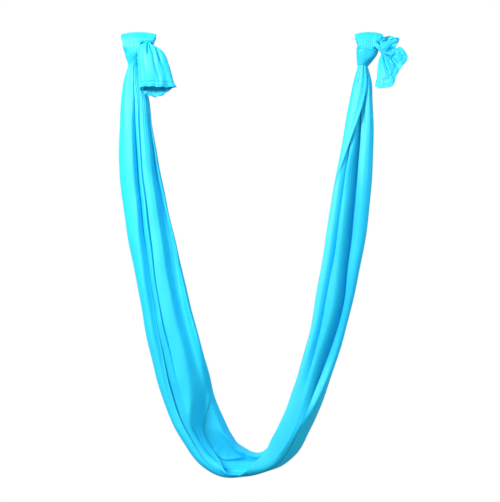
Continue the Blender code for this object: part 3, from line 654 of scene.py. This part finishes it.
# Each tail, once round, at levels from its root to its hem. Every place is across from the eye,
# forward of the knot's front, and height, in millimetres.
TAIL_LEVELS = {
    "left": [
        (0.25, [(12, 6, -22), (12, 24, -18), (32, 36, -20), (60, 34, -24), (92, 18, -34), (90, 10, -37),
                (82, 6, -40), (56, 3, -44), (30, 3, -40)]),
        (0.62, [(4, 6, -100), (7, 36, -98), (36, 58, -104), (80, 56, -104), (128, 28, -104),
                (122, 14, -110), (106, 8, -120), (66, 4, -130), (28, 4, -124)]),
        (0.9, [(10, 10, -186), (16, 38, -172), (46, 52, -169), (98, 50, -170), (148, 31, -171),
               (136, 16, -177), (116, 9, -190), (80, 4, -208), (38, 5, -205)]),
        (1, [(12, 16, -200), (20, 36, -184), (50, 48, -184), (96, 46, -186), (156, 29, -184),
             (136, 20, -191), (118, 16, -206), (82, 12, -223), (42, 13, -219)]),
    ],
    "right": [
        (0.16, [(40, 20, -26), (44, 24, -28), (46, 22, -33), (47, 20, -38), (46, 24, -42),
                (44, 26, -44), (41, 22, -44), (39, 10, -42), (40, 6, -38), (43, 5, -34), (44, 5, -28),
                (40, 8, -24)]),
        (0.55, [(39, 12, -2), (62, 14, 8), (88, 18, -8), (78, 10, -30), (92, 28, -38), (98, 40, -56),
                (74, 46, -92), (46, 44, -106), (28, 24, -96), (44, 8, -84), (76, 6, -56),
                (68, 6, -20)]),
        (1, [(42, 18, 12), (76, 18, 20), (115, 22, 9), (100, 10, -24), (128, 26, -28), (148, 40, -74),
             (108, 50, -134), (80, 56, -196), (16, 44, -199), (28, 8, -180), (96, 6, -112),
             (96, 9, -10)]),
    ],
}
# How often each tail is rolled round, where its free edge starts, its pleats in a turn, and how
# deep they are and the waves of its hem
TAILS = {
    "left": {"turns": 2.7, "start": 0.93, "pleats": 8, "fine": 0.001, "ruffle": 0.0011},
    "right": {"turns": 1.9, "start": 0.87, "pleats": 9, "fine": 0.0012, "ruffle": 0.0024},
}
# Sharp creases that run out from each root: place round the tail where they start, how far they
# lean on the way down, share of the way down where they start and end, depth and half width
TAIL_CREASES = {
    "left": [
        (0.258, 0, 0.05, 0.5, 0.016, 0.011), (0.3, 0, 0.05, 0.42, 0.013, 0.01),
        (0.325, 0, 0.22, 0.92, 0.006, 0.016), (0.378, 0, 0.3, 0.62, 0.009, 0.01),
        (0.16, 0, 0.1, 0.34, 0.003, 0.01), (0.404, 0, 0.05, 0.34, 0.006, 0.01),
        (0.35, 0, 0.6, 0.9, 0.003, 0.01),
    ],
    "right": [
        (0.445, 0.05, 0.18, 0.98, 0.014, 0.014), (0.46, -0.75, 0.5, 0.68, 0.012, 0.03),
        (0.345, 0, 0.3, 0.62, 0.0105, 0.01), (0.56, 0, 0.24, 0.84, 0.0125, 0.012),
        (0.5, 0, 0.3, 0.8, 0.006, 0.014), (0.28, 0, 0.4, 0.95, 0.0085, 0.012),
        (0.64, 0, 0.2, 0.5, 0.0065, 0.012),
    ],
}
TAIL_ROOT_RADIUS = 0.01
TAIL_ROWS = 66
COLUMNS_A_TURN = 190
LOOP_POINTS = 360
# The hem: its width, its thickness, how far it runs past the edge as a share of a row, and the
# depth and half width of the groove above it
HEM_BAND = 0.016
HEM_THICKNESS = 0.0026
HEM_OVERHANG = 0.15
GROOVE_DEPTH = 0.0022
GROOVE_REACH = 0.0026


def closed_curve(points, count):
    """Places on a smooth closed curve through the points, the same share of each stretch."""
    at = np.arange(count) / count * len(points)
    i = np.floor(at).astype(int)
    s = (at - i)[:, None]
    a, b, c, d = (points[(i + k) % len(points)] for k in (-1, 0, 1, 2))
    return 0.5 * (2 * b + (c - a) * s + (2 * a - 5 * b + 4 * c - d) * s**2
                  + (3 * b - a - 3 * c + d) * s**3)


def tail_root(side):
    """Where a tail leaves its knot: its hinge."""
    joint = next(j for j in frame["joints"] if j["name"] == side + "_tail_lift")
    return np.array(joint["pos_m"])


def make_tail(side):
    """The loose end beyond the knot: a sheet rolled on itself, narrow at its root, wide at its hem."""
    facts = TAILS[side]
    root = tail_root(side)
    turn = np.linspace(0, facts["turns"], int(COLUMNS_A_TURN * facts["turns"]))
    circle = (turn + facts["start"]) % 1
    deeper = turn / facts["turns"]
    around = np.stack([np.cos(math.tau * circle), 0 * circle, np.sin(math.tau * circle)], axis=1)
    levels = [(0, root + around * TAIL_ROOT_RADIUS * (1 - 0.5 * deeper)[:, None])]
    for down, places in TAIL_LEVELS[side]:
        x, forward, z = np.array(places).T / 1000
        loop = closed_curve(np.stack([x, -KNOT_FRONT - forward, z], axis=1), LOOP_POINTS)
        loop = loop + np.array(EYES[side])
        at = circle * LOOP_POINTS
        low = np.floor(at).astype(int)
        part = (at - low)[:, None]
        ring = loop[low % LOOP_POINTS] * (1 - part) + loop[(low + 1) % LOOP_POINTS] * part
        levels.append((down, ring + (loop.mean(axis=0) - ring) * (0.2 * deeper)[:, None]))
    knots, shapes = (np.array(part) for part in zip(*levels))
    f = np.linspace(0, 1, TAIL_ROWS) ** 1.1
    grid = np.array([smooth_value(knots, shapes, value)[0] for value in f])
    middles = shapes.mean(axis=1, keepdims=True)
    centre = np.array([smooth_value(knots, middles, value)[0] for value in f])
    normals = grid_normals(grid)
    normals = normals * np.sign(np.sum(normals * (grid - centre), axis=2).mean())
    f = f[:, None]
    a = turn[None, :] * math.tau
    wave = np.sin(facts["pleats"] * a + 1.2 * np.sin(2.3 * a + 0.5))
    wave = wave + 0.5 * np.sin(1.83 * facts["pleats"] * a + 1)
    lift = facts["fine"] * (0.4 + 1.2 * f) * wave
    lift = lift + facts["ruffle"] * f**6 * np.sin(1.73 * facts["pleats"] * a + 2.0 * np.sin(1.7 * a))
    for place, lean, begin, finish, depth, half in TAIL_CREASES[side]:
        away = np.abs((circle[None, :] - place - lean * (f - begin) + 0.5) % 1 - 0.5)
        reach = smooth_step((f - begin + 0.05) / 0.08) * smooth_step((finish - f) / 0.2)
        lift = lift - depth * reach * np.exp(-(away / half) ** 2)
    length = lengths(grid, 0)
    above_edge = (length[-1] - length)[:, None]
    lift = lift - GROOVE_DEPTH * np.exp(-((above_edge - HEM_BAND) / GROOVE_REACH) ** 2)
    grid = grid + normals * lift[:, :, None]
    grid[:, :, 2] += 0.7 * facts["ruffle"] * f**6 * np.cos(1.5 * facts["pleats"] * a)
    inside = root + np.array([0, 0.02, 0.002])
    tucked = [grid[0] + (inside - root) * k + (root - grid[0]) * 0.25 * k for k in (1, 0.66, 0.33)]
    return np.concatenate([np.array(tucked), grid])


def cloth_from_grid(name, grid, width, material, thickness=CLOTH_THICKNESS):
    """A closed sheet from a grid whose columns run across the cloth, and its flat size."""
    u, v = lengths(grid, 1), lengths(grid, 0)
    across = (u / u[-1] * width)[None, :]
    made = cloth_mesh(name, grid, grid_normals(grid), across, v[:, None], thickness)
    made.data.materials.append(material)
    return made, (round(float(u[-1]), 3), round(float(v[-1]), 3))


def group_socket(tree, name, kind, into, value=None):
    """A named input or output of a node group."""
    made = tree.interface.new_socket(name=name, in_out=into, socket_type="NodeSocket" + kind)
    if value is not None:
        made.default_value = value


def fill(tree, node, inputs):
    """Links or sets a node's inputs, by name or number."""
    for key, value in inputs.items():
        if isinstance(value, bpy.types.NodeSocket):
            tree.links.new(value, node.inputs[key])
        else:
            node.inputs[key].default_value = value


def add_node(tree, kind, inputs=(), **settings):
    """The outputs of a new node with its settings, and its inputs filled."""
    made = tree.nodes.new(kind)
    for name, value in settings.items():
        setattr(made, name, value)
    fill(tree, made, dict(inputs))
    return made.outputs


def math_node(tree, operation, *inputs):
    """The result of a Math node."""
    return add_node(tree, "ShaderNodeMath", enumerate(inputs), operation=operation)[0]


def mixed(tree, factor, a, b):
    """A colour between two."""
    inputs = {"A": a, "B": b, "Factor": factor}
    return add_node(tree, "ShaderNodeMix", inputs, data_type="RGBA")["Result"]


def noise(tree, where, scale, detail):
    """Soft noise at a place."""
    inputs = {"Vector": where, "Scale": scale, "Detail": detail}
    return add_node(tree, "ShaderNodeTexNoise", inputs)["Fac"]


def bump(tree, height, strength, distance):
    """A surface's direction with small unevenness."""
    inputs = {"Height": height, "Strength": strength, "Distance": distance}
    return add_node(tree, "ShaderNodeBump", inputs)["Normal"]


def knit_group():
    """Fine tricot: wales along the cloth, courses across it, and a slow unevenness of tone."""
    tree = bpy.data.node_groups.new("tricot_knit", "ShaderNodeTree")
    group_socket(tree, "Vector", "Vector", "INPUT")
    group_socket(tree, "Wale pitch", "Float", "INPUT", 0.0009)
    group_socket(tree, "Course pitch", "Float", "INPUT", 0.0007)
    group_socket(tree, "Height", "Float", "OUTPUT")
    group_socket(tree, "Tone", "Float", "OUTPUT")
    start = add_node(tree, "NodeGroupInput")
    split = add_node(tree, "ShaderNodeSeparateXYZ", {"Vector": start["Vector"]})
    wale = math_node(tree, "DIVIDE", split["X"], start["Wale pitch"])
    course = math_node(tree, "DIVIDE", split["Y"], start["Course pitch"])
    rib = math_node(tree, "SINE", math_node(tree, "MULTIPLY", wale, math.tau))
    lean = math_node(tree, "MULTIPLY", rib, 1.2)
    loop = math_node(tree, "ADD", math_node(tree, "MULTIPLY", course, math.tau), lean)
    loop = math_node(tree, "MULTIPLY", math_node(tree, "SINE", loop), 0.4)
    height = math_node(tree, "ADD", math_node(tree, "MULTIPLY", rib, 0.6), loop)
    add_node(tree, "NodeGroupOutput", {"Height": height, "Tone": noise(tree, start["Vector"], 9, 3)})
    return tree


def blank_material(name):
    """A new material with its nodes and its Principled shader."""
    made = bpy.data.materials.new(name)
    made.use_nodes = True
    return made, made.node_tree, made.node_tree.nodes["Principled BSDF"]


def cloth_material(name, colour, tone_and_groove_shade_colour, knit):
    """Stretch tricot: a matt knit with a soft sheen."""
    made, tree, shader = blank_material(name)
    place = add_node(tree, "ShaderNodeUVMap", uv_map="cloth")["UV"]
    weave = add_node(tree, "ShaderNodeGroup", {"Vector": place}, node_tree=knit)
    height, tone = weave["Height"], weave["Tone"]
    # The colour mix is the cloth's random tone, plus painted shade: the knit's low grooves lean a
    # little towards the deeper colour.
    share = math_node(tree, "MULTIPLY_ADD", height, 0.06, tone)
    share = math_node(tree, "MULTIPLY_ADD", share, 1.1, -0.05)
    fill(tree, shader, {
        "Base Color": mixed(tree, share, tone_and_groove_shade_colour, colour),
        "Roughness": math_node(tree, "MULTIPLY_ADD", tone, 0.16, 0.48),
        "Normal": bump(tree, height, 0.25, 0.0002),
        "Subsurface Weight": 0.45,
        "Subsurface Radius": (0.15, 0.8, 1),
        "Subsurface Scale": 0.003,
        "Sheen Weight": 0.1,
        "Sheen Roughness": 0.5,
        "Sheen Tint": (0.45, 0.85, 1, 1),
        "Specular IOR Level": 0.7,
    })
    return made


def thread_material():
    """The hem's thread: a shade deeper than the cloth, with the twist of its strands."""
    made, tree, shader = blank_material("hem_thread")
    twist = noise(tree, add_node(tree, "ShaderNodeTexCoord")["Object"], 900, 2)
    fill(tree, shader, {
        "Base Color": mixed(tree, twist, (0.006, 0.36, 0.66, 1), (0.012, 0.48, 0.8, 1)),
        "Normal": bump(tree, twist, 0.4, 0.0001),
        "Roughness": 0.42,
    })
    return made


# The hem's stitches: how often one comes, its length and its thread's radius
STITCHES = {"Pitch": 0.0036, "Length": 0.0026, "Radius": 0.00032}


def stitch_tree():
    """Short stitches along a line of points."""
    tree = bpy.data.node_groups.new("hem_stitches", "GeometryNodeTree")
    group_socket(tree, "Geometry", "Geometry", "INPUT")
    for name, value in STITCHES.items():
        group_socket(tree, name, "Float", "INPUT", value)
    group_socket(tree, "Material", "Material", "INPUT")
    group_socket(tree, "Geometry", "Geometry", "OUTPUT")
    start = add_node(tree, "NodeGroupInput")
    line = add_node(tree, "GeometryNodeMeshToCurve", {"Mesh": start["Geometry"]})["Curve"]
    points = add_node(tree, "GeometryNodeCurveToPoints", {"Curve": line, "Length": start["Pitch"]},
                      mode="LENGTH")
    stitch = add_node(tree, "GeometryNodeMeshCylinder",
                      {"Vertices": 8, "Depth": start["Length"], "Radius": start["Radius"]})
    turn = add_node(tree, "FunctionNodeAlignRotationToVector", {"Vector": points["Tangent"]}, axis="Z")
    inputs = {"Points": points["Points"], "Instance": stitch["Mesh"], "Rotation": turn["Rotation"]}
    placed = add_node(tree, "GeometryNodeInstanceOnPoints", inputs)
    real = add_node(tree, "GeometryNodeRealizeInstances", {"Geometry": placed["Instances"]})
    paint = add_node(tree, "GeometryNodeSetMaterial",
                     {"Geometry": real["Geometry"], "Material": start["Material"]})
    add_node(tree, "NodeGroupOutput", {"Geometry": paint["Geometry"]})
    return tree


def sew(name, line, tree, material):
    """A row of stitches along a line of points, as one plain mesh."""
    data = bpy.data.meshes.new(name)
    data.from_pydata(line.tolist(), [(k, k + 1) for k in range(len(line) - 1)], [])
    made = put(name, data)
    modifier = made.modifiers.new("stitches", "NODES")
    modifier.node_group = tree
    items = tree.interface.items_tree
    sockets = {item.name: item.identifier for item in items if item.in_out == "INPUT"}
    modifier[sockets["Material"]] = material
    for key, value in STITCHES.items():
        modifier[sockets[key]] = value
    graph = bpy.context.evaluated_depsgraph_get()
    sewn = bpy.data.meshes.new_from_object(made.evaluated_get(graph))
    made.modifiers.clear()
    made.data = sewn
    return made


def hem_line(edge):
    """Where the hem's thread runs: on the outside of the band, just below its upper edge."""
    normals = grid_normals(edge)[1]
    middle = edge[1].mean(axis=0)
    normals = normals * np.sign(np.sum(normals * (edge[1] - middle), axis=1).mean())
    return edge[1] + normals * (HEM_THICKNESS / 2 + STITCHES["Radius"] * 0.4)


# The photograph's view: its distance and width in metres, its place, and its size in pixels
DISTANCE = 4.5
VIEW_WIDTH = 2.0
VIEW_PLACE = (0.448, -0.05, -0.838)
SENSOR = 36.0
PHOTO_SIZE = (500, 502)


def camera_view():
    """A level camera in front, at the middle height of the hanging sling."""
    data = bpy.data.cameras.new("photo_view")
    made = put("photo_view", data)
    data.sensor_width = SENSOR
    data.lens = SENSOR * DISTANCE / VIEW_WIDTH * PHOTO_SIZE[0] / PHOTO_SIZE[1]
    made.location = Vector(VIEW_PLACE) + Vector((0, -DISTANCE, 0))
    made.rotation_euler = (math.radians(90), 0, 0)
    bpy.context.scene.camera = made


def soft_light(name, place, aim, side, power, colour=(1, 1, 1)):
    """A large soft square lamp."""
    data = bpy.data.lights.new(name, "AREA")
    data.shape = "SQUARE"
    data.size = side
    data.energy = power
    data.color = colour
    made = put(name, data)
    made.location = place
    made.rotation_euler = (Vector(aim) - Vector(place)).to_track_quat("-Z", "Y").to_euler()


# Light from all round: its strength level with the sling, and how much more comes from above
SKY_LEVEL = 0.68
SKY_SLOPE = 0.36
SKY_TINT = (0.28, 0.9, 1.0)


def surroundings():
    """White all round to the camera, and a plain level of soft light on the object."""
    world = bpy.data.worlds.new("studio")
    bpy.context.scene.world = world
    world.use_nodes = True
    tree = world.node_tree
    path = add_node(tree, "ShaderNodeLightPath")
    seen = math_node(tree, "MAXIMUM", path["Is Camera Ray"], path["Is Transmission Ray"])
    way = add_node(tree, "ShaderNodeTexCoord")["Generated"]
    up = add_node(tree, "ShaderNodeSeparateXYZ", {"Vector": way})["Z"]
    sky = math_node(tree, "MULTIPLY_ADD", up, SKY_SLOPE, SKY_LEVEL)
    level = math_node(tree, "MULTIPLY_ADD", seen, math_node(tree, "SUBTRACT", 1, sky), sky)
    colour = mixed(tree, seen, (*SKY_TINT, 1), (1, 1, 1, 1))
    fill(tree, tree.nodes["Background"], {"Color": colour, "Strength": level})
    soft_light("key", (-1.6, -2.3, 0.9), (0.3, 0, -0.7), 1.0, 150, (1, 0.96, 0.92))
    soft_light("fill", (1.6, -3.6, 1.0), (0.45, 0, -0.85), 1.6, 30)


camera_view()
surroundings()
bpy.context.scene.view_settings.view_transform = "Standard"

knit = knit_group()
tricot = cloth_material("sling_tricot", (0.014, 0.59, 0.92, 1), (0.008, 0.54, 0.89, 1), knit)
thread = thread_material()
stitches = stitch_tree()

# Rows lie closer together near a neck. Each hanging piece has its node, its rows, whether the flap
# crosses it, and the columns of its inside.
CROWD = 1.15
STEM_SHARE = STEM / ROUTE_LENGTH
PIECES = (
    ("left_leg", sling_rows(-STEM_SHARE, LEFT_SEAT_END, 0.0088, CROWD), False, 40),
    ("seat", sling_rows(LEFT_SEAT_END, RIGHT_SEAT_END, 0.0056, 1), False, 64),
    ("right_leg", sling_rows(1 + STEM_SHARE, RIGHT_SEAT_END, 0.0105, CROWD)[::-1], True, 40),
)
for node, shares, flap, columns in PIECES:
    piece = make_sling_piece(node + "_cloth", shares, flap, columns)
    piece.data.materials.append(tricot)
    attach(piece, "sling")
    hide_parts(node)

# The width of the cloth in each gather and wrap, for the scale of the knit
GATHER_WIDTH = 0.6
WRAP_WIDTH = 0.3
for side in ("left", "right"):
    gather, flat = cloth_from_grid(side + "_eye_gather", make_gather(side), GATHER_WIDTH, tricot)
    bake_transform(gather)
    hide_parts(side + "_bight", side + "_knot_wrap")
    wrap, flat = cloth_from_grid(side + "_neck_wrap", make_wrap(side), WRAP_WIDTH, tricot)
    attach(wrap, "sling")
    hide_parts(side + "_neck_turn")
    grid = make_tail(side)
    tail, flat = cloth_from_grid(side + "_tail_cloth", grid, CLOTH_WIDTH, tricot)
    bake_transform(tail)
    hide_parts(side + "_tail")
    edge = grid[-int(np.sum(lengths(grid[::-1], 0) < HEM_BAND)):]
    folded = np.concatenate([edge, edge[-1:] + (edge[-1:] - edge[-2:-1]) * HEM_OVERHANG])
    band, _ = cloth_from_grid(side + "_tail_hem_fold", folded, CLOTH_WIDTH, tricot, HEM_THICKNESS)
    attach(band, side + "_tail_end")
    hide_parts(side + "_tail_hem")
    seam = sew(side + "_hem_thread", hem_line(edge), stitches, thread)
    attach(seam, side + "_tail_end")
